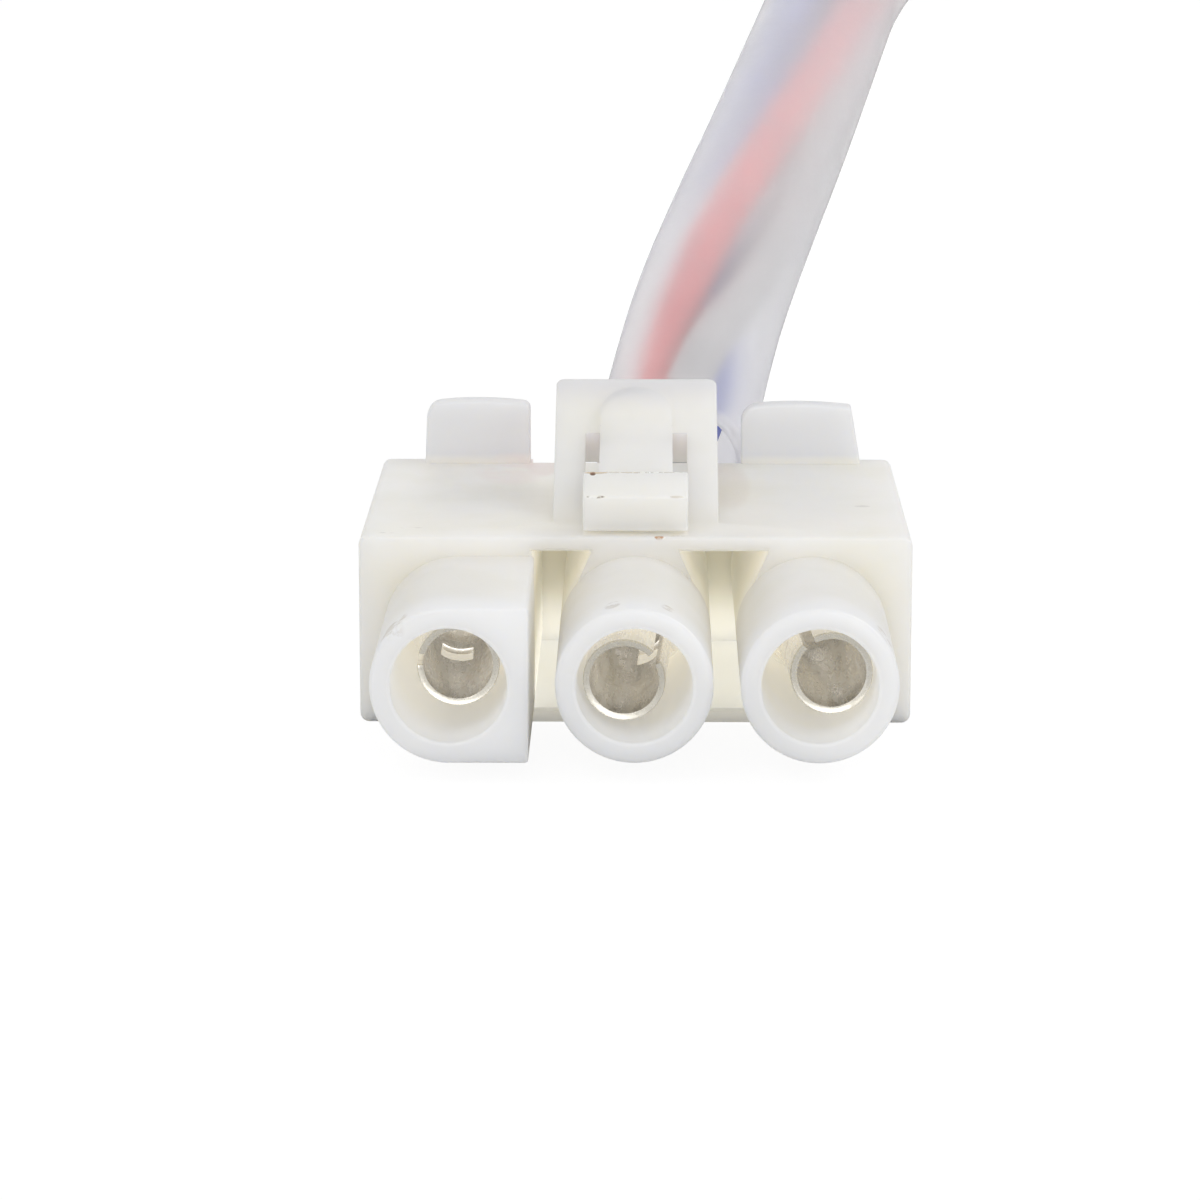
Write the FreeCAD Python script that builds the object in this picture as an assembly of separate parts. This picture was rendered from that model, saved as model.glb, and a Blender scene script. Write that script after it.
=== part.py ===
# Three-way wire-to-wire socket housing with crimped socket contacts and three
# leads that run in a frosted sleeve. Millimetres. The silos point along -Y, the
# leads leave along +Y, and the housing lies on the plane Z = 0.
import FreeCAD
import Part

import math
import os

from FreeCAD import Rotation, Vector

# Housing: block with three silos in front
pitch = 6.35
circuits = (-1, 0, 1)
silo_radius = 2.72
silo_bore_radius = 2.0
silo_length = 8.7
silo_rim_round = 0.18
side_margin = 0.885
face_margin = 0.71
body_length = 15.3
body_edge_round = 0.32

# Pockets that core out the block between the silos
lip_thickness = 0.53
web_half_width = 1.6
pocket_depth = 11.0

# Contact cavities
ridge_depth = 10.9
ridge_length = 1.3
ridge_bore_radius = 1.62
cavity_radius = 2.2
funnel_radius = 2.62
funnel_length = 0.8

# Latch lever on the middle circuit
lever_width = 6.05
lever_arm_width = 1.13
lever_slot_width = 0.55
lever_root_setback = 2.6
lever_run = 7.3
lever_height = 4.1
lever_thickness = 0.95
lever_corner_round = 0.3
root_sink = 0.3
pad_length = 2.85
rib_height = 0.3
rib_end_setback = 0.85
nose_width = 3.8
nose_setback = 0.4
nose_face_height = 1.4
nose_ramp_length = 1.3
nose_ramp_rise = 0.7
nose_step = 0.7
nose_gap = 0.12
nose_corner_round = 0.15

# Guard ears above the outer circuits, the left one first
ear_inner_reaches = (4.16, 4.07)
ear_outer_reaches = (8.26, 8.77)
ear_tapers = (0.1, 0.43)
ear_outer_rounds = (0.6, 0.15)
ear_inner_rounds = (0.3, 0.7)
ear_heights = (2.46, 2.34)
ear_crown = 0.12
ear_thickness = 1.1
ear_sink = 0.3

# Shallow relief in the top rear edge between the ears, where the leads come out
relief_length = 0.9
relief_drop = 0.22

# Socket contacts, rolled from strip
contact_radius = 1.43
contact_stock = 0.21
contact_recess = 2.0
contact_edge_chamfer = 0.06
seam_width = 0.4
lance_width = 1.0
lance_length = 2.4
lance_reach = 1.83
lance_window_clearance = 0.12
lance_root_land = 0.3
ridge_play = 0.15
collar_radius = 1.85
collar_length = 0.35
transition_length = 1.4
wire_grip_length = 3.0
grip_spacing = 0.7
insulation_grip_length = 2.7
grip_gap = 0.26
crimp_clearance = 0.03
shoulder_opening = 80.0
bridge_opening = 95.0

# How far the mouth of each contact floats off its axis, across and up, and the
# way its seam faces, measured from +X towards +Z
contact_floats = ((0.26, 0.29), (-0.36, -0.25), (0.47, 0.02))
seam_angles = (172.0, 36.0, 126.0)

# Leads
strand_radius = 0.48
insulation_radius = 0.9
strand_clearance = 0.02
brush_length = 0.35
grip_overhang = 1.3
stripped_length = 6.0

# Sleeve, and how the leads twist inside it
sleeve_radius = 3.15
sleeve_wall = 0.5
bundle_radius = 1.4
lay_length = 130.0
first_lead_angle = 140.0

# Places worked out from the sizes above
overall_length = silo_length + body_length
mouth_y = -overall_length / 2
flange_y = mouth_y + silo_length
back_y = overall_length / 2
body_width = 2 * (pitch + silo_radius + side_margin)
body_height = 2 * (silo_radius + face_margin)
axis_z = body_height / 2
pocket_half_height = axis_z - lip_thickness
ridge_y = mouth_y + ridge_depth
pivot_y = ridge_y + ridge_length / 2
lever_tip_setback = lever_root_setback + lever_run
lever_pitch = math.atan2(lever_height, lever_run)
rib_width = lever_width - 2 * (lever_arm_width + lever_slot_width)
contact_inner_radius = contact_radius - contact_stock
wire_grip_inner = strand_radius + crimp_clearance
wire_grip_radius = wire_grip_inner + contact_stock
insulation_grip_inner = insulation_radius + crimp_clearance
insulation_grip_radius = insulation_grip_inner + contact_stock

# Places along a contact, from its pivot in the ridge
contact_front = mouth_y + contact_recess - pivot_y
lance_tip = -ridge_length / 2 - ridge_play
lance_root = lance_tip - lance_length
collar_start = ridge_length / 2 + ridge_play
collar_end = collar_start + collar_length
wire_grip_start = collar_end + transition_length
wire_grip_end = wire_grip_start + wire_grip_length
insulation_grip_start = wire_grip_end + grip_spacing
insulation_grip_end = insulation_grip_start + insulation_grip_length

# Route of the sleeve, chosen by hand: it rises behind the housing, turns off to
# the right over its highest point and comes down to lie on the plane Z = 0
sleeve_route = (
    (1.5, 16.0, 7.0),
    (2.15, 19.3, 9.2),
    (3.1, 24.0, 11.5),
    (4.6, 31.5, 13.9),
    (6.3, 41.0, 16.2),
    (8.2, 53.0, 18.8),
    (10.2, 66.0, 21.5),
    (16.0, 77.5, 24.0),
    (27.0, 86.5, 24.6),
    (40.5, 93.0, 21.0),
    (52.5, 99.5, 14.6),
    (62.0, 108.5, 8.2),
    (67.0, 120.5, 4.2),
    (67.0, 134.0, sleeve_radius),
    (64.0, 146.5, sleeve_radius),
)

# Each lead's name and its corners between its cavity and the sleeve, and then
# past the sleeve, ending in its stripped tip
lead_names = ("red", "grey", "blue")
lead_fans = (
    ((-5.34, 13.48, 4.12), (-1.6, 14.38, 5.84)),
    ((0.56, 12.89, 4.57),),
    ((5.46, 12.83, 3.66), (3.04, 15.04, 3.7)),
)
lead_tails = (
    ((65.6, 154.2, 3.0), (67.2, 161.5, insulation_radius), (69.4, 168.8, insulation_radius),
     (73.0, 175.8, insulation_radius)),
    ((63.2, 154.2, 1.1), (62.6, 161.8, insulation_radius), (62.9, 169.6, insulation_radius),
     (64.6, 177.4, insulation_radius)),
    ((60.5, 153.4, 1.9), (58.0, 160.6, insulation_radius), (56.6, 168.2, insulation_radius),
     (57.6, 176.0, insulation_radius)),
)


def box(low, high):
    """Block between two corners."""
    size = [b - a for a, b in zip(low, high)]
    return Part.makeBox(*size, Vector(*low))


def rod(radius, start, length, x=0.0, z=0.0):
    """Cylinder along +Y."""
    return Part.makeCylinder(radius, length, Vector(x, start, z), Vector(0, 1, 0))


def turned(profile, x=0.0, z=0.0):
    """Solid of revolution about a line along Y, from (y, radius) points."""
    points = [Vector(x, y, z + r) for y, r in profile]
    face = Part.Face(Part.makePolygon(points + points[:1]))
    return face.revolve(Vector(x, 0, z), Vector(0, 1, 0), 360)


def side_plate(profile, width):
    """Plate centred on X = 0, from the (y, z) points of its side outline."""
    points = [Vector(-width / 2, y, z) for y, z in profile]
    face = Part.Face(Part.makePolygon(points + points[:1]))
    return face.extrude(Vector(width, 0, 0))


def front_plate(points, start, length):
    """Prism along +Y, from the (x, z) points of its front outline."""
    points = [Vector(x, start, z) for x, z in points]
    face = Part.Face(Part.makePolygon(points + points[:1]))
    return face.extrude(Vector(0, length, 0))


def near(a, b):
    return abs(a - b) < 1e-6


def edges_where(shape, test):
    """Edges of a shape whose two ends both pass a test."""
    return [e for e in shape.Edges if len(e.Vertexes) == 2 and all(test(v.Point) for v in e.Vertexes)]


def silo(index):
    """One silo, carried on into the block as the wall of its cavity.

    The first one is square on the side of its neighbours, which keys the housing.
    """
    x = circuits[index] * pitch
    length = silo_length + pocket_depth
    shape = rod(silo_radius, mouth_y, length, x, axis_z)
    if index == 0:
        low = (x, mouth_y, axis_z - silo_radius)
        high = (x + silo_radius, mouth_y + length, axis_z + silo_radius)
        shape = shape.fuse(box(low, high)).removeSplitter()
    rim = [e for e in shape.Edges if all(near(v.Point.y, mouth_y) for v in e.Vertexes)]
    return shape.makeFillet(silo_rim_round, rim)


def web_flank(x, side):
    """Upper half of a pocket's side beside a round silo: it leaves the lip and ends tangent to the silo."""
    reach = math.hypot(web_half_width, pocket_half_height)
    angle = math.atan2(pocket_half_height, web_half_width) - math.acos(silo_radius / reach)
    touch = (silo_radius * math.cos(angle), silo_radius * math.sin(angle))
    return [(x + side * web_half_width, pocket_half_height), (x + side * touch[0], touch[1])]


def pocket(index):
    """Blind pocket between silo index and the next one, before the silos' walls go in."""
    left_x, right_x = circuits[index] * pitch, circuits[index + 1] * pitch
    if index == 0:
        left = [(left_x + silo_radius, pocket_half_height)]
    else:
        left = web_flank(left_x, 1)
    upper = left[::-1] + web_flank(right_x, -1)
    lower = [(x, -z) for x, z in reversed(upper)]
    outline = [(x, axis_z + z) for x, z in upper + lower]
    return front_plate(outline, flange_y, pocket_depth)


def cavity(index):
    """Bore from the silo's mouth to the back face, with the ridge that the contact snaps behind."""
    rear = ridge_y + ridge_length
    mouth_chamfer = silo_rim_round / 2
    beyond = 1.0
    profile = [
        (mouth_y - beyond, 0),
        (mouth_y - beyond, silo_bore_radius + mouth_chamfer),
        (mouth_y, silo_bore_radius + mouth_chamfer),
        (mouth_y + mouth_chamfer, silo_bore_radius),
        (ridge_y, silo_bore_radius),
        (ridge_y, ridge_bore_radius),
        (rear, ridge_bore_radius),
        (rear, cavity_radius),
        (back_y - funnel_length, cavity_radius),
        (back_y, funnel_radius),
        (back_y + beyond, funnel_radius),
        (back_y + beyond, 0),
    ]
    return turned(profile, circuits[index] * pitch, axis_z)


def on_block(setback, height):
    """A (y, z) point behind the flange and above the block."""
    return (flange_y + setback, body_height + height)


def on_lever(setback, above=0.0):
    """A (y, z) point on the lever's upper face, or a height above it."""
    return on_block(setback, (setback - lever_root_setback) * math.tan(lever_pitch) + above)


def lever_plate():
    """Sloping plate with its two slots, cut free of the block under its middle."""
    drop = lever_thickness / math.cos(lever_pitch)
    buried = root_sink / math.tan(lever_pitch)
    tip_y, tip_z = on_lever(lever_tip_setback)
    under_tip = (tip_y + lever_thickness * math.sin(lever_pitch), tip_z - lever_thickness * math.cos(lever_pitch))
    plate = side_plate(
        [
            on_block(lever_root_setback - buried, -root_sink),
            (tip_y, tip_z),
            under_tip,
            on_block(lever_root_setback + drop / math.tan(lever_pitch) - buried, -root_sink),
        ],
        lever_width,
    )
    corners = edges_where(plate, lambda p: p.y > tip_y - 0.01)
    corners = [e for e in corners if near(e.Vertexes[0].Point.x, e.Vertexes[1].Point.x)]
    plate = plate.makeFillet(lever_corner_round, corners)
    low_y, high_y = flange_y, tip_y - pad_length
    low_z, high_z = body_height - 2 * root_sink, tip_z
    for side in (-1, 1):
        inner, outer = side * rib_width / 2, side * (rib_width / 2 + lever_slot_width)
        slot = box((min(inner, outer), low_y, low_z), (max(inner, outer), high_y, high_z))
        plate = plate.cut(slot)
    under = box((-rib_width / 2, low_y, low_z), (rib_width / 2, high_y, body_height + nose_gap))
    return plate.cut(under)


def lever_rib():
    """Rib between the slots, round at its rear end, which carries the nose at its front end."""
    nose_back = nose_setback + nose_ramp_length
    nose_top = nose_face_height + nose_ramp_rise
    end = lever_tip_setback - rib_end_setback
    waist = lever_root_setback + lever_thickness / math.sin(lever_pitch)
    rib = side_plate(
        [
            on_block(nose_setback + nose_ramp_length / 2, nose_gap),
            on_block(nose_setback + nose_ramp_length / 2, nose_face_height),
            on_block(nose_back, nose_top - nose_step),
            on_lever(end - pad_length, rib_height),
            on_lever(end, rib_height),
            on_lever(end, -lever_thickness / 2),
            on_lever(waist, -lever_thickness),
            on_block(waist - nose_step, nose_gap),
        ],
        rib_width,
    )
    radius = rib_width / 2
    end_y = flange_y + end
    floor, roof = body_height - root_sink, body_height + lever_height + rib_height
    round_end = Part.makeCylinder(radius, roof - floor, Vector(0, end_y - radius, floor))
    ahead = box((-radius, flange_y, floor), (radius, end_y - radius, roof))
    return rib.common(round_end.fuse(ahead))


def lever_nose():
    """Catch nose at the front of the rib: a square face, then a ramp."""
    back = nose_setback + nose_ramp_length
    top = nose_face_height + nose_ramp_rise
    nose = side_plate(
        [
            on_block(nose_setback, nose_gap),
            on_block(nose_setback, nose_face_height),
            on_block(back, top),
            on_block(back + nose_corner_round, top - nose_step),
            on_block(back + nose_corner_round, nose_gap),
        ],
        nose_width,
    )
    front_y = flange_y + nose_setback
    corners = edges_where(nose, lambda p: near(p.y, front_y))
    corners = [e for e in corners if near(e.Vertexes[0].Point.x, e.Vertexes[1].Point.x)]
    return nose.makeFillet(nose_corner_round, corners)


def guard_ear(side):
    """Upright ear at the back edge, with a slightly crowned top; side is 0 on the left and 1 on the right."""
    way = (-1, 1)[side]
    front_y = back_y - ear_thickness
    inner = way * ear_inner_reaches[side]
    outer = way * ear_outer_reaches[side]
    outer_top = outer - way * ear_tapers[side]
    foot, shoulder = body_height - ear_sink, body_height + ear_heights[side] - ear_crown

    def at(x, z):
        return Vector(x, front_y, z)

    crown = at((inner + outer_top) / 2, shoulder + ear_crown)
    edges = [
        Part.LineSegment(at(outer, foot), at(outer_top, shoulder)).toShape(),
        Part.Arc(at(outer_top, shoulder), crown, at(inner, shoulder)).toShape(),
        Part.LineSegment(at(inner, shoulder), at(inner, foot)).toShape(),
        Part.LineSegment(at(inner, foot), at(outer, foot)).toShape(),
    ]
    ear = Part.Face(Part.Wire(edges)).extrude(Vector(0, ear_thickness, 0))
    for x, radius in ((outer_top, ear_outer_rounds[side]), (inner, ear_inner_rounds[side])):
        corner = edges_where(ear, lambda p: near(p.x, x) and near(p.z, shoulder))
        ear = ear.makeFillet(radius, corner)
    return ear


def rear_relief():
    """Wedge taken off the top rear edge between the ears."""
    wedge = side_plate(
        [
            on_block(body_length - relief_length, 0),
            on_block(body_length, -relief_drop),
            on_block(body_length, relief_drop),
            on_block(body_length - relief_length, relief_drop),
        ],
        2 * min(ear_inner_reaches),
    )
    return wedge


def housing():
    """The moulded nylon housing, one piece with its silos, lever and ears."""
    block = box((-body_width / 2, flange_y, 0), (body_width / 2, back_y, body_height))
    long_edges = [e for e in block.Edges if not near(e.Vertexes[0].Point.y, e.Vertexes[1].Point.y)]
    block = block.makeFillet(body_edge_round, long_edges)
    for index in range(len(circuits) - 1):
        block = block.cut(pocket(index))
    block = block.cut(rear_relief())
    added = [silo(i) for i in range(len(circuits))]
    added += [lever_plate(), lever_rib(), lever_nose(), guard_ear(0), guard_ear(1)]
    shape = block.fuse(added)
    for index in range(len(circuits)):
        shape = shape.cut(cavity(index))
    return shape.removeSplitter()


def strip_ring(outer, start, length):
    """Rolled strip along +Y, with its seam towards +Z."""
    ring = rod(outer, start, length).cut(rod(outer - contact_stock, start, length))
    return ring.cut(box((-grip_gap / 2, start, 0), (grip_gap / 2, start + length, 2 * outer)))


def strip_section(radius, y, half_opening):
    """Outline of the strip's section at y, open towards +Z over twice the half opening in degrees."""
    a = math.radians(half_opening)

    def at(r, angle):
        return Vector(r * math.sin(angle), y, r * math.cos(angle))

    inner = radius - contact_stock
    edges = [
        Part.Arc(at(radius, a), at(radius, math.pi), at(radius, -a)).toShape(),
        Part.LineSegment(at(radius, -a), at(inner, -a)).toShape(),
        Part.Arc(at(inner, -a), at(inner, math.pi), at(inner, a)).toShape(),
        Part.LineSegment(at(inner, a), at(radius, a)).toShape(),
    ]
    return Part.Wire(edges)


def strip_bridge(start, start_radius, end, end_radius, half_opening):
    """Open length of strip that runs from one rolled radius to another."""
    sections = [strip_section(start_radius, start, half_opening), strip_section(end_radius, end, half_opening)]
    return Part.makeLoft(sections, True, True)


def lance(side):
    """Springy tongue pushed out of the barrel, and the window that it leaves."""
    tongue = side_plate(
        [
            (lance_root, contact_inner_radius),
            (lance_root, contact_radius),
            (lance_tip, lance_reach),
            (lance_tip, lance_reach - contact_stock),
        ],
        lance_width,
    )
    half = lance_width / 2 + lance_window_clearance
    window = box((-half, lance_root + lance_root_land, contact_inner_radius / 2),
                 (half, lance_tip + lance_window_clearance, 2 * contact_radius))
    for shape in (tongue, window):
        shape.rotate(Vector(), Vector(0, 1, 0), side * 90)
    return tongue, window


def socket_contact():
    """One socket contact on its own axis, seam towards +Z, pivot at the origin."""
    c = contact_edge_chamfer
    barrel = turned([
        (contact_front, contact_inner_radius + c),
        (contact_front, contact_radius - c),
        (contact_front + c, contact_radius),
        (collar_start, contact_radius),
        (collar_start, collar_radius),
        (collar_end, collar_radius),
        (collar_end, contact_inner_radius),
        (contact_front + c, contact_inner_radius),
    ])
    seam = box((-seam_width / 2, contact_front, 0), (seam_width / 2, collar_end, 2 * contact_radius))
    shape = barrel.cut(seam)
    added = []
    for side in (-1, 1):
        tongue, window = lance(side)
        shape = shape.cut(window)
        added.append(tongue)
    added += [
        strip_bridge(collar_end, contact_radius, wire_grip_start, wire_grip_radius, shoulder_opening),
        strip_ring(wire_grip_radius, wire_grip_start, wire_grip_length),
        strip_bridge(wire_grip_end, wire_grip_radius, insulation_grip_start, insulation_grip_radius,
                     bridge_opening),
        strip_ring(insulation_grip_radius, insulation_grip_start, insulation_grip_length),
    ]
    return shape.fuse(added).removeSplitter()


def contact_placement(index):
    """Where contact index lies: pivoted in the ridge so that its mouth floats off the axis."""
    across, up = contact_floats[index]
    lean = Rotation(Vector(0, contact_front, 0), Vector(across, contact_front, up))
    roll = Rotation(Vector(0, 1, 0), 90 - seam_angles[index])
    base = Vector(circuits[index] * pitch, pivot_y, axis_z)
    return FreeCAD.Placement(base, lean.multiply(roll))


def route_wire(points):
    """Straight runs joined by tangent arcs, each as large as its two runs allow; also the arcs' radii."""
    points = [Vector(*p) for p in points]
    edges, radii = [], []
    start = points[0]
    for before, corner, after in zip(points, points[1:], points[2:]):
        come = (corner - before).normalize()
        go = (after - corner).normalize()
        turn = come.getAngle(go)
        reach = 0.45 * min((corner - before).Length, (after - corner).Length)
        radius = reach / math.tan(turn / 2)
        radii.append(radius)
        arc_start, arc_end = corner - come * reach, corner + go * reach
        inward = (go - come).normalize()
        middle = corner + inward * (radius / math.cos(turn / 2) - radius)
        edges.append(Part.LineSegment(start, arc_start).toShape())
        edges.append(Part.Arc(arc_start, middle, arc_end).toShape())
        start = arc_end
    edges.append(Part.LineSegment(start, points[-1]).toShape())
    return Part.Wire(edges), radii


def swept(wire, radius):
    """Round bar along a wire."""
    first = wire.Edges[0]
    heading = first.tangentAt(first.FirstParameter)
    ring = Part.Wire([Part.Circle(first.Vertexes[0].Point, heading, radius).toShape()])
    return wire.makePipeShell([ring], True, False)


def bar(name, points, radius):
    """Round bar along a route; prints its tightest radius and its volume against section times length."""
    wire, radii = route_wire(points)
    shape = swept(wire, radius)
    ratio = shape.Volume / (math.pi * radius ** 2 * wire.Length)
    print(f"{name}: length {wire.Length:.1f} mm, radii {[round(r, 1) for r in radii]}, volume ratio {ratio:.4f}")
    return shape


def lead_corners_in_sleeve(index):
    """Corners of lead index inside the sleeve: the sleeve's own, set off from its centre line by the twist."""
    corners = [Vector(*p) for p in sleeve_route]
    angle = first_lead_angle - index * 360 / len(lead_names)
    found = []
    travelled = 0.0
    for i, corner in enumerate(corners):
        before, after = corners[max(i - 1, 0)], corners[min(i + 1, len(corners) - 1)]
        travelled += (corner - before).Length
        ahead = (after - before).normalize()
        right = ahead.cross(Vector(0, 0, 1)).normalize()
        above = right.cross(ahead)
        a = math.radians(angle - 360 * travelled / lay_length)
        found.append(corner + (right * math.cos(a) + above * math.sin(a)) * bundle_radius)
    return found


def end_trim(tip, before, length):
    """Cylinder that covers the last stretch of a lead's insulation."""
    heading = (tip - before).normalize()
    radius = 2 * insulation_radius
    return Part.makeCylinder(radius, 2 * length, tip - heading * length, heading)


def lead(index):
    """The strands of lead index, and its insulation, which stops short of both their ends."""
    place = contact_placement(index)
    strand_start = place.multVec(Vector(0, wire_grip_start - brush_length, 0))
    jacket_start = place.multVec(Vector(0, insulation_grip_start, 0))
    seat = place.multVec(Vector(0, insulation_grip_end + grip_overhang, 0))
    route = [strand_start, seat]
    route += [Vector(*p) for p in lead_fans[index]]
    route += lead_corners_in_sleeve(index)
    route += [Vector(*p) for p in lead_tails[index]]
    name = lead_names[index]
    strands = bar(name + " strands", route, strand_radius)
    jacket = bar(name + " insulation", route, insulation_radius)
    jacket = jacket.cut(swept(route_wire(route)[0], strand_radius + strand_clearance))
    jacket = jacket.cut(end_trim(strand_start, seat, (jacket_start - strand_start).Length))
    return jacket.cut(end_trim(route[-1], route[-2], stripped_length)), strands


def sleeve():
    """Frosted sleeve, an open tube."""
    bore = swept(route_wire(sleeve_route)[0], sleeve_radius - sleeve_wall)
    return bar("sleeve", sleeve_route, sleeve_radius).cut(bore)


def main():
    os.makedirs("parts", exist_ok=True)
    shapes = {"housing": housing(), "sleeve": sleeve()}
    contact = socket_contact()
    for index, name in enumerate(lead_names):
        placed = contact.copy()
        placed.Placement = contact_placement(index)
        shapes[f"socket_contact_{index + 1}"] = placed
        shapes[f"lead_insulation_{name}"], shapes[f"lead_strands_{name}"] = lead(index)
    for name, shape in shapes.items():
        print(name, "solids", len(shape.Solids), "valid", shape.isValid(), "volume", round(shape.Volume, 3))
        shape.exportStep(f"parts/{name}.step")


main()
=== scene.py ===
import math

import bmesh
import bpy
import numpy as np
from mathutils import Matrix, Vector


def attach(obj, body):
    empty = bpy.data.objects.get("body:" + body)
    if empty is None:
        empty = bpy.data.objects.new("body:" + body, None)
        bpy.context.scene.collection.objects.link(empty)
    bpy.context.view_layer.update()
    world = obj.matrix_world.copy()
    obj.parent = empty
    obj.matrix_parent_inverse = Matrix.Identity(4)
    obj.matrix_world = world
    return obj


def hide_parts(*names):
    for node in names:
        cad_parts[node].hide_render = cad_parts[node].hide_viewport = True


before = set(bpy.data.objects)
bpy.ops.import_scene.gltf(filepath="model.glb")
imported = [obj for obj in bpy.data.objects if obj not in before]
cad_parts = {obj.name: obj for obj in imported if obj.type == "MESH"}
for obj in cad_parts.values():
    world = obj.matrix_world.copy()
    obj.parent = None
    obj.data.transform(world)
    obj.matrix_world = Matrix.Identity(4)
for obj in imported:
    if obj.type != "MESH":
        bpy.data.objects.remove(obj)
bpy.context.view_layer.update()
mm = 0.001

print("stage: camera and light")

# the photograph's own viewpoint; the frame is 1200 by 1200
cameraSpec = {
    "place": (0.55, -158.92, 38.82),
    "down": 12.42,
    "turn": 0.67,
    "lens": 132.8,
    "sensor": 36.0,
}


def link(name, data):
    made = bpy.data.objects.new(name, data)
    bpy.context.scene.collection.objects.link(made)
    return made


def makeCamera():
    data = bpy.data.cameras.new("photoCamera")
    data.lens = cameraSpec["lens"]
    data.sensor_width = cameraSpec["sensor"]
    data.clip_start = 0.01
    data.clip_end = 20
    camera = link("photoCamera", data)
    camera.location = Vector(cameraSpec["place"]) * mm
    camera.rotation_euler = (math.radians(90 - cameraSpec["down"]), 0, math.radians(cameraSpec["turn"]))
    bpy.context.scene.camera = camera


makeCamera()


class Term:
    # a shader socket that can stand in a sum
    def __init__(self, look, socket):
        self.look = look
        self.socket = socket

    def sum(self, operation, *others):
        values = {0: self}
        for place, other in enumerate(others):
            values[place + 1] = other
        return self.look.node("ShaderNodeMath", {"operation": operation}, values)

    def __add__(self, other):
        return self.sum("ADD", other)

    def __sub__(self, other):
        return self.sum("SUBTRACT", other)

    def __rsub__(self, other):
        return self.look.node("ShaderNodeMath", {"operation": "SUBTRACT"}, {0: other, 1: self})

    def __mul__(self, other):
        return self.sum("MULTIPLY", other)

    def __truediv__(self, other):
        return self.sum("DIVIDE", other)

    def __pow__(self, other):
        return self.sum("POWER", other)

    __radd__ = __add__
    __rmul__ = __mul__

    def size(self):
        return self.sum("ABSOLUTE")

    def atLeast(self, other):
        return self.sum("MAXIMUM", other)

    def ramp(self, low, high, start=0.0, end=1.0):
        # soft step from start to end while the value goes from low to high
        return self.look.node(
            "ShaderNodeMapRange",
            {"interpolation_type": "SMOOTHSTEP"},
            {"Value": self, "From Min": low, "From Max": high, "To Min": start, "To Max": end},
        )


class Look:
    # the shader nodes of a new material or world
    def __init__(self, name, store=bpy.data.materials):
        self.owner = store.new(name)
        self.owner.use_nodes = True
        self.tree = self.owner.node_tree
        self.tree.nodes.clear()

    def plug(self, socket, value):
        # a term is linked, a number or a colour is set
        if isinstance(value, Term):
            self.tree.links.new(value.socket, socket)
        elif socket.type == "RGBA" and len(value) == 3:
            socket.default_value = (*value, 1)
        else:
            socket.default_value = value

    def node(self, kind, settings=None, values=None, output=0):
        made = self.tree.nodes.new(kind)
        for key, value in (settings or {}).items():
            setattr(made, key, value)
        for key, value in (values or {}).items():
            self.plug(made.inputs[key], value)
        return Term(self, made.outputs[output])

    def place(self):
        # object coordinates in millimetres
        inMetres = self.node("ShaderNodeTexCoord", output="Object")
        return self.node("ShaderNodeVectorMath", {"operation": "SCALE"}, {0: inMetres, "Scale": 1000.0})

    def axes(self, where):
        # x, y and z of a place
        return [self.node("ShaderNodeSeparateXYZ", None, {0: where}, output=name) for name in ("X", "Y", "Z")]

    def noise(self, vector, scale, detail=2.0, roughness=0.5, distortion=0.0):
        values = {"Vector": vector, "Scale": scale, "Detail": detail, "Roughness": roughness,
                  "Distortion": distortion}
        return self.node("ShaderNodeTexNoise", None, values)

    def mix(self, factor, below, above):
        # the mix node's colour sockets are found by number, since their names repeat
        return self.node("ShaderNodeMix", {"data_type": "RGBA"}, {0: factor, 6: below, 7: above}, output=2)

    def spot(self, axes, centre, reach):
        # 1 within an oval round the centre, 0 outside it
        total = 0.0
        for axis, middle, size in zip(axes, centre, reach):
            total = ((axis - middle) / size) ** 2.0 + total
        return total.ramp(0.35, 1.0, 1.0, 0.0)

    def bump(self, height, strength, distance):
        values = {"Height": height, "Strength": strength, "Distance": distance}
        return self.node("ShaderNodeBump", None, values)

    def surface(self, values):
        return self.node("ShaderNodeBsdfPrincipled", None, values)

    def finish(self, shader, output="ShaderNodeOutputMaterial"):
        made = self.tree.nodes.new(output)
        self.tree.links.new(shader.socket, made.inputs["Surface"])
        return self.owner


def fromScreen(red, green, blue):
    # screen colour, 0 to 255, to the renderer's own scale
    def one(value):
        value = value / 255
        return value / 12.92 if value <= 0.04045 else ((value + 0.055) / 1.055) ** 2.4
    return (one(red), one(green), one(blue))


stageSpec = {
    "ambient": 0.58,
    "floorSize": 3.0,
    "floorShadow": 0.12,
    "lamps": (
        # place in metres, aim in metres, size, watts
        ((-0.16, -0.20, 0.34), (0, 0, 0.005), 0.22, 0.24),
        ((0.26, 0.05, 0.28), (0, 0.02, 0.010), 0.20, 0.30),
        ((0.05, -0.42, 0.10), (0, 0, 0.005), 0.26, 0.40),
    ),
}


def makeRoom():
    # plain white where the camera looks, straight or through the sleeve, and dimmer as a light
    room = Look("whiteRoom", bpy.data.worlds)
    seen = room.node("ShaderNodeLightPath", output="Is Camera Ray")
    for ray in ("Is Glossy Ray", "Is Transmission Ray"):
        seen = seen.atLeast(room.node("ShaderNodeLightPath", output=ray))
    strength = room.node("ShaderNodeMapRange", None, {"Value": seen, "To Min": stageSpec["ambient"]})
    back = room.node("ShaderNodeBackground", None, {"Color": (1, 1, 1), "Strength": strength})
    bpy.context.scene.world = room.finish(back, "ShaderNodeOutputWorld")


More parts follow.
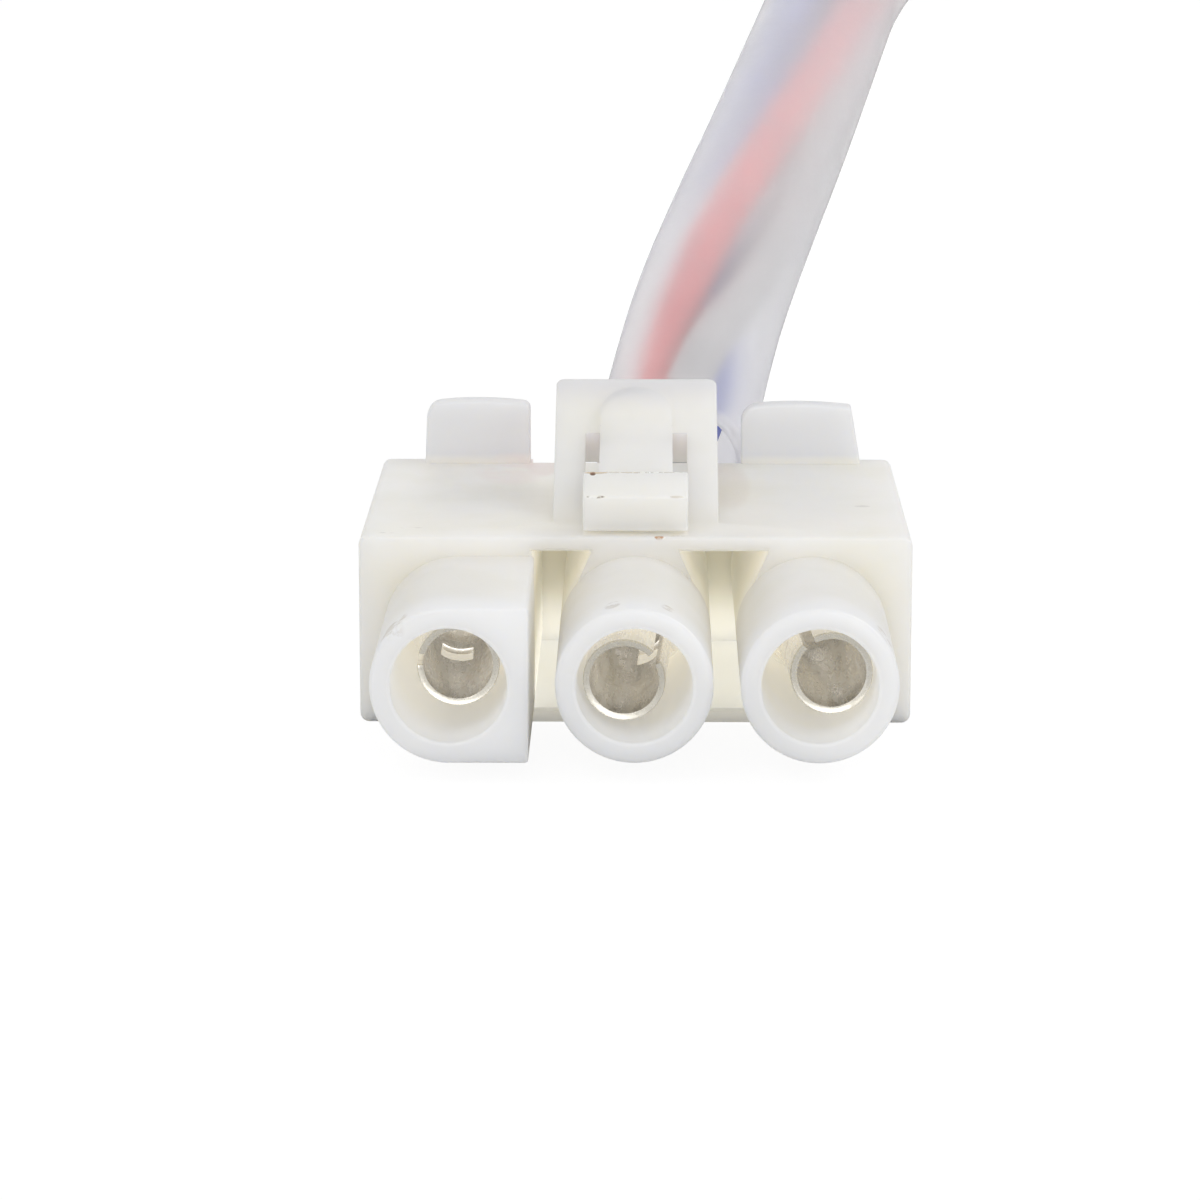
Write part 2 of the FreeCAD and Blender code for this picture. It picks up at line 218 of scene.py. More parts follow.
def makeFloor():
    # for the camera mostly a white light, with a little of the shadows left
    look = Look("whiteFloor")
    path = look.node("ShaderNodeLightPath", output="Is Camera Ray")
    plain = look.surface({"Base Color": (0.86, 0.86, 0.86), "Roughness": 0.9})
    glow = look.node("ShaderNodeEmission", None, {"Color": (1, 1, 1), "Strength": 1.06})
    share = path * (1 - stageSpec["floorShadow"])
    mixed = look.node("ShaderNodeMixShader", None, {0: share, 1: plain, 2: glow})
    bm = bmesh.new()
    bmesh.ops.create_grid(bm, x_segments=1, y_segments=1, size=stageSpec["floorSize"] / 2)
    mesh = bpy.data.meshes.new("floor")
    bm.to_mesh(mesh)
    bm.free()
    mesh.materials.append(look.finish(mixed))
    floor = link("floor", mesh)


def makeLamps():
    for number, (place, aim, size, watts) in enumerate(stageSpec["lamps"]):
        lamp = bpy.data.lights.new(f"softbox{number + 1}", "AREA")
        lamp.size = size
        lamp.energy = watts
        holder = link(lamp.name, lamp)
        holder.location = place
        holder.rotation_euler = (Vector(aim) - Vector(place)).to_track_quat("-Z", "Y").to_euler()


makeRoom()
makeFloor()
makeLamps()
bpy.context.scene.view_settings.view_transform = "Standard"

print("stage: leads and sleeve")

# the routes' corners, in millimetres: the solids' own, but for the sleeve's mouth, the leads' way into it
# and the sleeve's upper bend
sleeveRoute = [
    (1.34, 15.18, 6.45), (2.15, 19.3, 9.2), (3.1, 24.0, 11.5), (4.6, 31.5, 13.9), (6.3, 41.0, 16.2),
    (8.2, 53.0, 18.8), (10.2, 66.0, 21.5), (14.3, 78.8, 24.1), (26.0, 89.5, 24.5), (40.5, 93.0, 21.0),
    (52.5, 99.5, 14.6), (62.0, 108.5, 8.2), (67.0, 120.5, 4.2), (67.0, 134.0, 3.15), (64.0, 146.5, 3.15),
]
sleeveSpec = {"radius": 3.15, "wall": 0.5, "bundleRadius": 1.4, "mouthRadius": 1.15, "lay": 130.0,
              "firstAngle": 142.8, "length": 164.5}
# gather is how many degrees more each lead has turned at the sleeve's first corners, where the three are
# brought in
leadSpec = {
    "insulationRadius": 0.9,
    "jacket": 4.05,
    "stripped": 6.0,
    "housingBack": 12.0,
    "step": 0.6,
    "red": {
        "start": (-6.4098, 1.7482, 3.3632), "seat": (-6.6288, 9.7915, 3.119), "length": 212.0,
        "fan": [(-5.34, 13.4, 3.9), (-2.0, 14.4, 4.5)], "gather": (62, 54, 8),
        "tail": [(65.6, 154.2, 3.0), (67.2, 161.5, 0.9), (69.4, 168.8, 0.9), (73.0, 175.8, 0.9)],
    },
    "grey": {
        "start": (0.0828, 1.7477, 3.4875), "seat": (0.386, 9.7892, 3.698), "length": 214.0,
        "fan": [(0.5, 12.95, 4.6), (1.15, 14.0, 6.0)], "gather": (62, 54, 8),
        "tail": [(63.2, 154.2, 1.1), (62.6, 161.8, 0.9), (62.9, 169.6, 0.9), (64.6, 177.4, 0.9)],
    },
    "blue": {
        "start": (6.2419, 1.7473, 3.4254), "seat": (5.8462, 9.7876, 3.4086), "length": 212.9,
        "fan": [(5.4, 13.2, 3.5), (3.0, 14.4, 3.6)], "gather": (22, 60, 34),
        "tail": [(60.5, 153.4, 1.9), (58.0, 160.6, 0.9), (56.6, 168.2, 0.9), (57.6, 176.0, 0.9)],
    },
}
leadNames = ("red", "grey", "blue")


def metres(points):
    return [Vector(point) * mm for point in points]


def smoothLine(name, points):
    # a smooth curve that the points steer
    data = bpy.data.curves.new(name, "CURVE")
    data.dimensions = "3D"
    spline = data.splines.new("NURBS")
    spline.points.add(len(points) - 1)
    for corner, point in zip(spline.points, points):
        corner.co = (*point, 1)
    spline.order_u = 3
    spline.use_endpoint_u = True
    data.resolution_u = 16
    return data


def pointsAlong(data):
    # the points of a curve with no thickness, in metres
    holder = link("measure", data)
    bpy.context.view_layer.update()
    shape = bpy.data.meshes.new_from_object(holder.evaluated_get(bpy.context.evaluated_depsgraph_get()))
    found = [vertex.co.copy() for vertex in shape.vertices]
    bpy.data.objects.remove(holder)
    bpy.data.meshes.remove(shape)
    return found


def lengthsAlong(points):
    travelled = [0.0]
    for before, after in zip(points, points[1:]):
        travelled.append(travelled[-1] + (after - before).length)
    return travelled


def stretch(line, start, end, step):
    # evenly spaced points of the line between two lengths along it, and those lengths
    travelled = lengthsAlong(line)
    places = np.linspace(start, end, max(2, round((end - start) / step) + 1))
    found = [np.interp(places, travelled, [point[axis] for point in line]) for axis in range(3)]
    return [Vector(point) for point in zip(*found)], places


def wireCurve(name, radius, resolution):
    data = bpy.data.curves.new(name, "CURVE")
    data.dimensions = "3D"
    data.bevel_depth = radius
    data.bevel_resolution = resolution
    data.use_fill_caps = True
    return data


def addWire(data, points, thickness=1.0):
    spline = data.splines.new("POLY")
    spline.points.add(len(points) - 1)
    for corner, point in zip(spline.points, points):
        corner.co = (*point, 1)
        corner.radius = thickness


def besideLine(points, i, turn, reach):
    # the place beside the line's point i, turned round the line from its right
    ahead = (points[min(i + 1, len(points) - 1)] - points[max(i - 1, 0)]).normalized()
    right = ahead.cross(Vector((0, 0, 1))).normalized()
    above = right.cross(ahead)
    return points[i] + (right * math.cos(turn) + above * math.sin(turn)) * reach


def leadCornersInSleeve(number):
    corners = [Vector(point) for point in sleeveRoute]
    gather = leadSpec[leadNames[number]]["gather"]
    found = []
    for i, travelled in enumerate(lengthsAlong(corners)):
        angle = sleeveSpec["firstAngle"] - number * 120 - 360 * travelled / sleeveSpec["lay"]
        if i < len(gather):
            angle += gather[i]
        reach = sleeveSpec["bundleRadius"] if i else sleeveSpec["mouthRadius"]
        found.append(besideLine(corners, i, math.radians(angle), reach))
    return found


def leadRoute(number):
    spec = leadSpec[leadNames[number]]
    return metres([spec["start"], spec["seat"], *spec["fan"], *leadCornersInSleeve(number), *spec["tail"]])


insulationColours = {
    "red": ((0.50, 0.022, 0.03), (0.60, 0.05, 0.05)),
    "grey": ((0.30, 0.295, 0.30), (0.38, 0.37, 0.37)),
    "blue": ((0.03, 0.06, 0.34), (0.05, 0.09, 0.44)),
}


def insulationLook(name):
    look = Look(name + "Insulation")
    where = look.place()
    dark, light = insulationColours[name]
    drift = look.noise(where, 0.35, 3.0)
    grain = look.noise(where, 6.0, 3.0)
    scuffs = look.noise(where, 1.4, 4.0, 0.6, 0.5).ramp(0.60, 0.72)
    colour = look.mix(drift.ramp(0.35, 0.65), dark, light)
    colour = look.mix(scuffs * 0.18, colour, (0.62, 0.60, 0.58))
    bump = look.bump(grain + scuffs * 0.4, 0.18, 0.00004)
    shader = look.surface({
        "Base Color": colour,
        "Roughness": grain.ramp(0.3, 0.7, 0.30, 0.42) + scuffs * 0.15,
        "Specular IOR Level": 0.45,
        "Normal": bump,
    })
    return look.finish(shader)


def copperLook():
    look = Look("copperStrands")
    where = look.place()
    tarnish = look.noise(where, 1.1, 4.0, 0.6).ramp(0.42, 0.70)
    drawn = look.noise(where, 14.0, 2.0)
    colour = look.mix(tarnish, (0.74, 0.72, 0.69), (0.56, 0.53, 0.49))
    shader = look.surface({
        "Base Color": colour,
        "Metallic": 1.0,
        "Roughness": tarnish * 0.22 + 0.22,
        "Normal": look.bump(drawn, 0.1, 0.00002),
    })
    return look.finish(shader)


strandSpec = {
    "wires": 12, "wireRadius": 0.098 * mm, "layer": 0.375 * mm, "twist": 16.0 * mm, "frontBare": 5.0 * mm,
    "tailBare": 8.0 * mm, "coreRadius": 0.29 * mm, "step": 0.35 * mm,
}


def makeStrands(name, line, material):
    # a core, with a layer of fine wires round it where the insulation leaves it bare
    spec = strandSpec
    data = wireCurve(name + "Strands", spec["wireRadius"], 3)
    whole = lengthsAlong(line)[-1]
    addWire(data, stretch(line, 0, whole, spec["step"])[0], spec["coreRadius"] / spec["wireRadius"])
    for start, end in ((0, spec["frontBare"]), (whole - spec["tailBare"], whole)):
        middle, places = stretch(line, start, end, spec["step"])
        for wire in range(spec["wires"]):
            turns = [2 * math.pi * (wire / spec["wires"] + gone / spec["twist"]) for gone in places]
            addWire(data, [besideLine(middle, i, turn, spec["layer"]) for i, turn in enumerate(turns)])
    made = link(name + "Strands", data)
    data.materials.append(material)
    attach(made, "root")
    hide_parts("lead_strands_" + name)
    return made


def makeLead(number, copper):
    name = leadNames[number]
    spec = leadSpec[name]
    line = pointsAlong(smoothLine(name + "Line", leadRoute(number)))
    end = lengthsAlong(line)[-1] - leadSpec["stripped"] * mm
    covered, _ = stretch(line, leadSpec["jacket"] * mm, end, leadSpec["step"] * mm)
    data = wireCurve(name + "Lead", leadSpec["insulationRadius"] * mm, 9)
    addWire(data, covered)
    data.materials.append(insulationLook(name))
    lead = link(name + "Lead", data)
    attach(lead, "root")
    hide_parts("lead_insulation_" + name)
    (spec["length"] - leadSpec["stripped"] - leadSpec["jacket"]) * mm
    2 * leadSpec["insulationRadius"] * mm
    makeStrands(name, line, copper)


copper = copperLook()
for number in range(3):
    makeLead(number, copper)


def sleeveLook():
    look = Look("frostedSleeve")
    where = look.place()
    cloud = look.noise(where, 0.5, 3.0)
    grain = look.noise(where, 5.0, 4.0, 0.6)
    colour = look.mix(cloud.ramp(0.35, 0.7), (0.968, 0.962, 0.97), (0.952, 0.949, 0.958))
    shader = look.surface({
        "Base Color": colour,
        "Roughness": grain.ramp(0.3, 0.7, 0.40, 0.47),
        "Specular IOR Level": 0.4,
        "IOR": 1.15,
        "Transmission Weight": 0.88,
        # painted light: a faint white glow lifts the sleeve's shading
        "Emission Color": (1.0, 0.99, 1.0),
        "Emission Strength": 0.04,
        "Normal": look.bump(grain, 0.08, 0.00005),
    })
    return look.finish(shader)


def makeSleeve():
    data = smoothLine("sleeveLine", metres(sleeveRoute))
    line = pointsAlong(data)
    data.resolution_u = 30
    data.bevel_depth = sleeveSpec["radius"] * mm
    data.bevel_resolution = 22
    data.use_fill_caps = False
    holder = link("sleeveTube", data)
    bpy.context.view_layer.update()
    mesh = bpy.data.meshes.new_from_object(holder.evaluated_get(bpy.context.evaluated_depsgraph_get()))
    bpy.data.objects.remove(holder)
    bm = bmesh.new()
    bm.from_mesh(mesh)
    bmesh.ops.remove_doubles(bm, verts=bm.verts, dist=1e-6)
    bmesh.ops.recalc_face_normals(bm, faces=bm.faces)
    bm.to_mesh(mesh)
    bm.free()
    mesh.name = "frostedSleeve"
    mesh.materials.clear()
    mesh.materials.append(sleeveLook())
    mesh.shade_smooth()
    sleeve = link("frostedSleeve", mesh)
    wall = sleeve.modifiers.new("wall", "SOLIDIFY")
    wall.thickness = sleeveSpec["wall"] * mm
    wall.offset = -1
    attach(sleeve, "root")
    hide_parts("sleeve")


makeSleeve()

print("stage: contacts")

contactSpec = {
    # stations along the axis, back from the pivot in the ridge
    "front": -9.55, "lanceRoot": -3.2, "lanceTip": -0.8, "collar": (0.8, 1.15), "wireGrip": (2.55, 5.55),
    "insulationGrip": (6.25, 8.95),
    "around": 72, "firstBand": -6.2, "leadIn": 0.06, "inset": 0.02, "collarRise": 0.25, "collarFall": 0.3,
    "shoulderCut": 40.0,
    "radius": 1.43, "stock": 0.21, "collarRadius": 1.85, "wireGripRadius": 0.72, "insulationGripRadius": 1.14,
    "seam": 0.4, "gripGap": 0.26, "shoulderOpening": 80.0, "bridgeOpening": 95.0,
    "lanceReach": 1.83, "lanceWidth": 1.0, "windowSetback": 0.3, "windowClearance": 0.12, "edgeRound": 0.05,
    "pivot": (0.0, -0.45, 3.43), "pitch": 6.35,
    "floats": ((0.26, 0.29), (-0.36, -0.25), (0.47, 0.02)),
    "seamAngles": (172.0, 36.0, 126.0),
}


def addArc(bm, along, radius, opening, steps):
    # an arc round Y, open towards +Z over twice the opening, in degrees
    start = math.radians(opening)
    first = bm.verts.new((radius * math.sin(start), along, radius * math.cos(start)))
    sweep = 2 * math.pi - 2 * start
    bmesh.ops.spin(bm, geom=[first], cent=(0, 0, 0), axis=(0, 1, 0), dvec=(0, 0, 0), angle=sweep,
                   steps=steps, use_duplicate=False)
    ring = [vert for vert in bm.verts if abs(vert.co.y - along) < 1e-6]
    return [edge for vert in ring for edge in vert.link_edges if edge.verts[0] is vert]


def contactLook():
    look = Look("tinPlate")
    where = look.place()
    along = look.axes(where)[1]
    rolled = look.node("ShaderNodeMapping", None, {"Vector": where, "Scale": (1.0, 0.12, 1.0)})
    streaks = look.noise(rolled, 5.0, 4.0, 0.6)
    stain = look.noise(where, 1.6, 4.0, 0.6).ramp(0.52, 0.72)
    colour = look.mix(streaks.ramp(0.35, 0.65), (0.84, 0.81, 0.76), (0.91, 0.89, 0.85))
    colour = look.mix(stain * 0.35, colour, (0.55, 0.50, 0.41))
    # the cut rim is duller
    colour = look.mix(along.ramp(-9.95, -9.85, 0.8, 0.0), colour, (0.58, 0.55, 0.47))
    # the white walls round the barrels light them from inside
    inside = look.mix(along.ramp(-9.9, -8.4), (0.0, 0.0, 0.0), (0.085, 0.08, 0.07))
    shader = look.surface({
        "Base Color": colour,
        "Metallic": 1.0,
        "Roughness": streaks.ramp(0.3, 0.7, 0.20, 0.34) + stain * 0.15,
        "Emission Color": inside,
        "Emission Strength": 1.0,
        "Normal": look.bump(streaks, 0.25, 0.00002),
    })
    return look.finish(shader)


def makeContactMesh(material):
    spec = contactSpec
    half = spec["stock"] / 2
    barrel = spec["radius"] - half
    inset = spec["inset"]

    def opening(gap, radius):
        return math.degrees(math.asin(gap / 2 / radius))

    wire, cover = spec["wireGripRadius"] - half, spec["insulationGripRadius"] - half
    seam = opening(spec["seam"], barrel)
    wireGap, coverGap = opening(spec["gripGap"], wire), opening(spec["gripGap"], cover)
    windowFront = spec["lanceRoot"] + spec["windowSetback"]
    windowBack = spec["lanceTip"] + spec["windowClearance"]
    stations = [
        (spec["front"], barrel - inset, seam),
        (spec["front"] + spec["leadIn"], barrel, seam),
        (spec["firstBand"], barrel, seam),
        (windowFront, barrel, seam),
        (windowBack, barrel, seam),
        (spec["collar"][0] - spec["collarRise"], barrel, seam),
        (spec["collar"][0], spec["collarRadius"] - half, seam),
        (spec["collar"][1], spec["collarRadius"] - half, seam),
        (spec["collar"][1] + spec["collarFall"], barrel, spec["shoulderCut"]),
        (spec["wireGrip"][0], wire, spec["shoulderOpening"]),
        (spec["wireGrip"][0] + inset, wire, wireGap),
        (spec["wireGrip"][1] - inset, wire, wireGap),
        (spec["wireGrip"][1], wire, spec["bridgeOpening"]),
        (spec["insulationGrip"][0], cover, spec["bridgeOpening"]),
        (spec["insulationGrip"][0] + inset, cover, coverGap),
        (spec["insulationGrip"][1], cover, coverGap),
    ]
    bm = bmesh.new()
    rings = [addArc(bm, *station, spec["around"]) for station in stations]
    for before, after in zip(rings, rings[1:]):
        bmesh.ops.bridge_loops(bm, edges=before + after)
    windowAngle = math.degrees((spec["lanceWidth"] / 2 + spec["windowClearance"]) / barrel)
    holes = []
    for face in bm.faces:
        centre = face.calc_center_median()
        if windowFront < centre.y < windowBack:
            side = math.degrees(math.atan2(abs(centre.x), centre.z))
            if abs(side - 90) < windowAngle:
                holes.append(face)
    bmesh.ops.delete(bm, geom=holes, context="FACES")
    for side in (-1, 1):
        width = spec["lanceWidth"] / 2
        tip, reach = spec["lanceTip"], spec["lanceReach"] - half
        outline = ((windowFront, barrel, -width), (windowFront, barrel, width),
                   (tip, reach, width), (tip, reach, -width))
        corners = [bm.verts.new((side * out, along, across)) for along, out, across in outline]
        tongue = bm.faces.new(corners if side > 0 else corners[::-1])
        bmesh.ops.subdivide_edges(bm, edges=tongue.edges[:], cuts=3, use_grid_fill=True)
    bmesh.ops.recalc_face_normals(bm, faces=bm.faces)
    mesh = bpy.data.meshes.new("socketContact")
    bm.to_mesh(mesh)
    bm.free()
    mesh.shade_smooth()
    mesh.materials.append(material)
    return mesh


def makeContacts():
    spec = contactSpec
    whole = makeContactMesh(contactLook())
    for number in range(3):
        across, up = spec["floats"][number]
        base = Vector(spec["pivot"]) + Vector(((number - 1) * spec["pitch"], 0, 0))
        lean = Vector((0, spec["front"], 0)).rotation_difference(Vector((across, spec["front"], up)))
        roll = Matrix.Rotation(math.radians(90 - spec["seamAngles"][number]), 4, "Y")
        mesh = whole.copy()
        mesh.transform(Matrix.Translation(base) @ lean.to_matrix().to_4x4() @ roll)
        mesh.transform(Matrix.Scale(mm, 4))
        contact = link(f"socketContact{number + 1}", mesh)
        wall = contact.modifiers.new("wall", "SOLIDIFY")
        wall.thickness = spec["stock"] * mm
        wall.offset = 0
        wall.use_even_offset = True
        edge = contact.modifiers.new("edges", "BEVEL")
        edge.width = spec["edgeRound"] * mm
        edge.segments = 2
        edge.limit_method = "ANGLE"
        edge.angle_limit = math.radians(50)
        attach(contact, "root")
        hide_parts(f"socket_contact_{number + 1}")


makeContacts()

print("stage: housing")

housingSpec = {
    "pitch": 6.35, "axisHeight": 3.43, "mouth": -12.0, "flange": -3.3, "back": 12.0,
    "halfWidth": 9.955, "height": 6.86, "longEdgeRound": 0.32, "frontEdgeRound": 0.12,
    "siloRadius": 2.72, "siloRimRound": 0.18, "siloOverlap": 0.4, "keyCornerRound": 0.12,
    "boreRadius": 2.0, "mouthRound": 0.1,
    "lip": 0.53, "webHalfWidth": 1.6, "pocketDepth": 11.0, "pocketFlare": 0.12, "pocketOverlap": 0.09,
    "ridge": (-1.1, 0.2), "ridgeBore": 1.62, "cavityRadius": 2.2, "funnelRadius": 2.62, "funnelLength": 0.8,
    "around": 96,
    # a shallow hollow in the top's rear edge, from distance along and height
    "relief": [(11.1, 6.86), (12.0, 6.64), (12.3, 6.64), (12.3, 7.1), (11.1, 7.1)], "reliefWidth": 8.14,
}
leverSpec = {
    "width": 6.05, "arm": 1.13, "slot": 0.55, "rootSetback": 2.6, "run": 7.3, "rise": 4.1, "thickness": 0.95,
    "cornerRound": 0.3, "sink": 0.3, "pad": 2.85, "ribHeight": 0.3, "ribEnd": 0.85, "noseWidth": 3.8,
    "noseSetback": 0.4, "noseFace": 1.4, "rampLength": 1.3, "rampRise": 0.7, "noseStep": 0.7,
    "noseStepRun": 0.15, "noseGap": 0.12, "softEdge": 0.1, "plateEdge": 0.07, "cutFoot": 6.2, "cutTop": 12.0,
}
earSpec = {
    "inner": (4.16, 4.07), "outer": (8.26, 8.77), "taper": (0.1, 0.43), "outerRound": (0.6, 0.15),
    "innerRound": (0.3, 0.7), "height": (2.46, 2.34), "crown": 0.12, "thickness": 1.1, "sink": 0.3,
    "softEdge": 0.1,
}


def solidFrom(bm, name):
    bmesh.ops.remove_doubles(bm, verts=bm.verts, dist=1e-4)
    bmesh.ops.recalc_face_normals(bm, faces=bm.faces)
    mesh = bpy.data.meshes.new(name)
    bm.to_mesh(mesh)
    bm.free()
    return link(name, mesh)


def prism(outline, shift):
    # a closed outline, extruded by the shift
    bm = bmesh.new()
    face = bm.faces.new([bm.verts.new(point) for point in outline])
    made = bmesh.ops.extrude_face_region(bm, geom=[face])
    verts = [item for item in made["geom"] if isinstance(item, bmesh.types.BMVert)]
    bmesh.ops.translate(bm, vec=shift, verts=verts)
    return bm


def loft(rings):
    # a solid through closed rings with equally many points
    bm = bmesh.new()
    loops = []
    for ring in rings:
        verts = [bm.verts.new(point) for point in ring]
        loops.append([bm.edges.new(pair) for pair in zip(verts, verts[1:] + verts[:1])])
    for before, after in zip(loops, loops[1:]):
        bmesh.ops.bridge_loops(bm, edges=before + after)
    for end in (loops[0], loops[-1]):
        bmesh.ops.edgeloop_fill(bm, edges=end)
    return bm


def roundCorner(before, corner, after, radius, steps=6):
    # points of an arc that touches both legs of a corner
    back, on = (Vector(before) - Vector(corner)).normalized(), (Vector(after) - Vector(corner)).normalized()
    half = back.angle(on) / 2
    centre = Vector(corner) + (back + on).normalized() * radius / math.sin(half)
    first = Vector(corner) + back * radius / math.tan(half) - centre
    last = Vector(corner) + on * radius / math.tan(half) - centre
    sweep = first.angle_signed(last)
    found = []
    for step in range(steps + 1):
        turned = Matrix.Rotation(-sweep * step / steps, 2) @ first
        found.append(tuple(centre + turned))
    return found


def block(low, high):
    bm = bmesh.new()
    size = Vector(high) - Vector(low)
    bmesh.ops.create_cube(bm, size=1)
    bmesh.ops.scale(bm, vec=size, verts=bm.verts)
    bmesh.ops.translate(bm, vec=(Vector(high) + Vector(low)) / 2, verts=bm.verts)
    return bm


def soften(bm, edges, offset, segments):
    bmesh.ops.bevel(bm, geom=edges, offset=offset, offset_type="OFFSET", segments=segments, profile=0.5,
                    affect="EDGES", material=-1, clamp_overlap=True)


def sharpEdges(bm, degrees=30):
    limit = math.radians(degrees)
    return [edge for edge in bm.edges if len(edge.link_faces) == 2 and edge.calc_face_angle(0) > limit]


def turnedSolid(profile, x, z, name):
    # spun round the line along Y through x, z, from points of distance along and radius
    bm = bmesh.new()
    verts = [bm.verts.new((x, along, z + radius)) for along, radius in profile]
    edges = [bm.edges.new(pair) for pair in zip(verts, verts[1:])]
    bmesh.ops.spin(bm, geom=verts + edges, cent=(x, 0, z), axis=(0, 1, 0), dvec=(0, 0, 0),
                   angle=2 * math.pi, steps=housingSpec["around"], use_merge=True, use_duplicate=False)
    return solidFrom(bm, name)


def quarter(alongCentre, radiusCentre, size, startDegrees, endDegrees, steps=4):
    # points of a rounded corner in a turned profile
    found = []
    for step in range(steps + 1):
        angle = math.radians(startDegrees + (endDegrees - startDegrees) * step / steps)
        found.append((alongCentre + size * math.cos(angle), radiusCentre + size * math.sin(angle)))
    return found


def siloSolid(number):
    spec = housingSpec
    x, z = (number - 1) * spec["pitch"], spec["axisHeight"]
    mouth, end = spec["mouth"], spec["flange"] + spec["pocketDepth"] + spec["siloOverlap"]
    rim, radius = spec["siloRimRound"], spec["siloRadius"]
    profile = [(mouth, 0.0)] + quarter(mouth + rim, radius - rim, rim, 180, 90) + [(end, radius), (end, 0.0)]
    return turnedSolid(profile, x, z, f"silo{number + 1}")


def keyedSilo():
    # the first silo is square on its neighbour's side
    spec = housingSpec
    x, z, radius, corner = -spec["pitch"], spec["axisHeight"], spec["siloRadius"], spec["keyCornerRound"]
    half = spec["around"] // 2
    turns = [math.radians(90 + 180 * step / half) for step in range(half + 1)]
    outline = [(x + radius * math.cos(turn), z + radius * math.sin(turn)) for turn in turns]
    for side, start in ((-1, 270), (1, 0)):
        for step in range(4):
            turn = math.radians(start + 30 * step)
            outline.append((x + radius - corner + corner * math.cos(turn),
                            z + side * (radius - corner) + corner * math.sin(turn)))
    length = spec["flange"] + spec["pocketDepth"] + spec["siloOverlap"] - spec["mouth"]
    bm = prism([(x, spec["mouth"], z) for x, z in outline], (0, length, 0))
    rim = [edge for edge in bm.edges if all(abs(vert.co.y - spec["mouth"]) < 1e-5 for vert in edge.verts)]
    soften(bm, rim, spec["siloRimRound"], 4)
    return solidFrom(bm, "silo1")


def pocketCutter(number):
    spec = housingSpec
    middle, half = spec["axisHeight"], spec["axisHeight"] - spec["lip"]
    leftX, rightX = (number - 1) * spec["pitch"], number * spec["pitch"]
    reach = math.hypot(spec["webHalfWidth"], half)
    angle = math.atan2(half, spec["webHalfWidth"]) - math.acos(spec["siloRadius"] / reach)
    inside = spec["siloRadius"] - spec["pocketOverlap"]
    touch = (inside * math.cos(angle), inside * math.sin(angle))
    if number == 0:
        upper = [(leftX + inside, half)]
    else:
        upper = [(leftX + touch[0], touch[1]), (leftX + spec["webHalfWidth"], half)]
    upper += [(rightX - spec["webHalfWidth"], half), (rightX - touch[0], touch[1])]
    outline = upper + [(x, -z) for x, z in reversed(upper)]
    centre = sum(x for x, _ in outline) / len(outline)
    width = max(x for x, _ in outline) - min(x for x, _ in outline)
    flare = spec["pocketFlare"]
    stations = [(spec["flange"] - 0.5, flare)]
    stations += [(spec["flange"] + flare * math.sin(turn), flare * (1 - math.cos(turn - math.pi / 2)))
                 for turn in (math.radians(step) for step in (15, 40, 65, 90))]
    stations.append((spec["flange"] + spec["pocketDepth"], 0.0))
    rings = []
    for along, grown in stations:
        wider, higher = 1 + 2 * grown / width, 1 + grown / half
        rings.append([(centre + (x - centre) * wider, along, middle + z * higher) for x, z in outline])
    return solidFrom(loft(rings), f"pocket{number + 1}")


def cavityCutter(number):
    spec = housingSpec
    x, z = (number - 1) * spec["pitch"], spec["axisHeight"]
    mouth, edge, bore = spec["mouth"], spec["mouthRound"], spec["boreRadius"]
    front, rear = spec["ridge"]
    profile = [(mouth - 1, 0.0), (mouth - 1, bore + edge)]
    profile += quarter(mouth + edge, bore + edge, edge, 180, 270)
    profile += [
        (front, bore), (front, spec["ridgeBore"]), (rear, spec["ridgeBore"]), (rear, spec["cavityRadius"]),
        (spec["back"] - spec["funnelLength"], spec["cavityRadius"]), (spec["back"], spec["funnelRadius"]),
        (spec["back"] + 1, spec["funnelRadius"]), (spec["back"] + 1, 0.0),
    ]
    return turnedSolid(profile, x, z, f"cavity{number + 1}")


def onBlock(setback, height):
    return (housingSpec["flange"] + setback, housingSpec["height"] + height)


def onLever(setback, above=0.0):
    slope = leverSpec["rise"] / leverSpec["run"]
    return onBlock(setback, (setback - leverSpec["rootSetback"]) * slope + above)


def sidePrism(outline, width):
    return prism([(-width / 2, y, z) for y, z in outline], (width, 0, 0))


def join(base, steps):
    # cuts and joins in turn, with the tools removed afterwards
    for number, (operation, tool) in enumerate(steps):
        modifier = base.modifiers.new(f"step{number}", "BOOLEAN")
        modifier.operation = operation
        modifier.solver = "EXACT"
        modifier.object = tool
    bpy.context.view_layer.update()
    mesh = bpy.data.meshes.new_from_object(base.evaluated_get(bpy.context.evaluated_depsgraph_get()))
    base.modifiers.clear()
    base.data = mesh
    for _, tool in steps:
        bpy.data.objects.remove(tool)


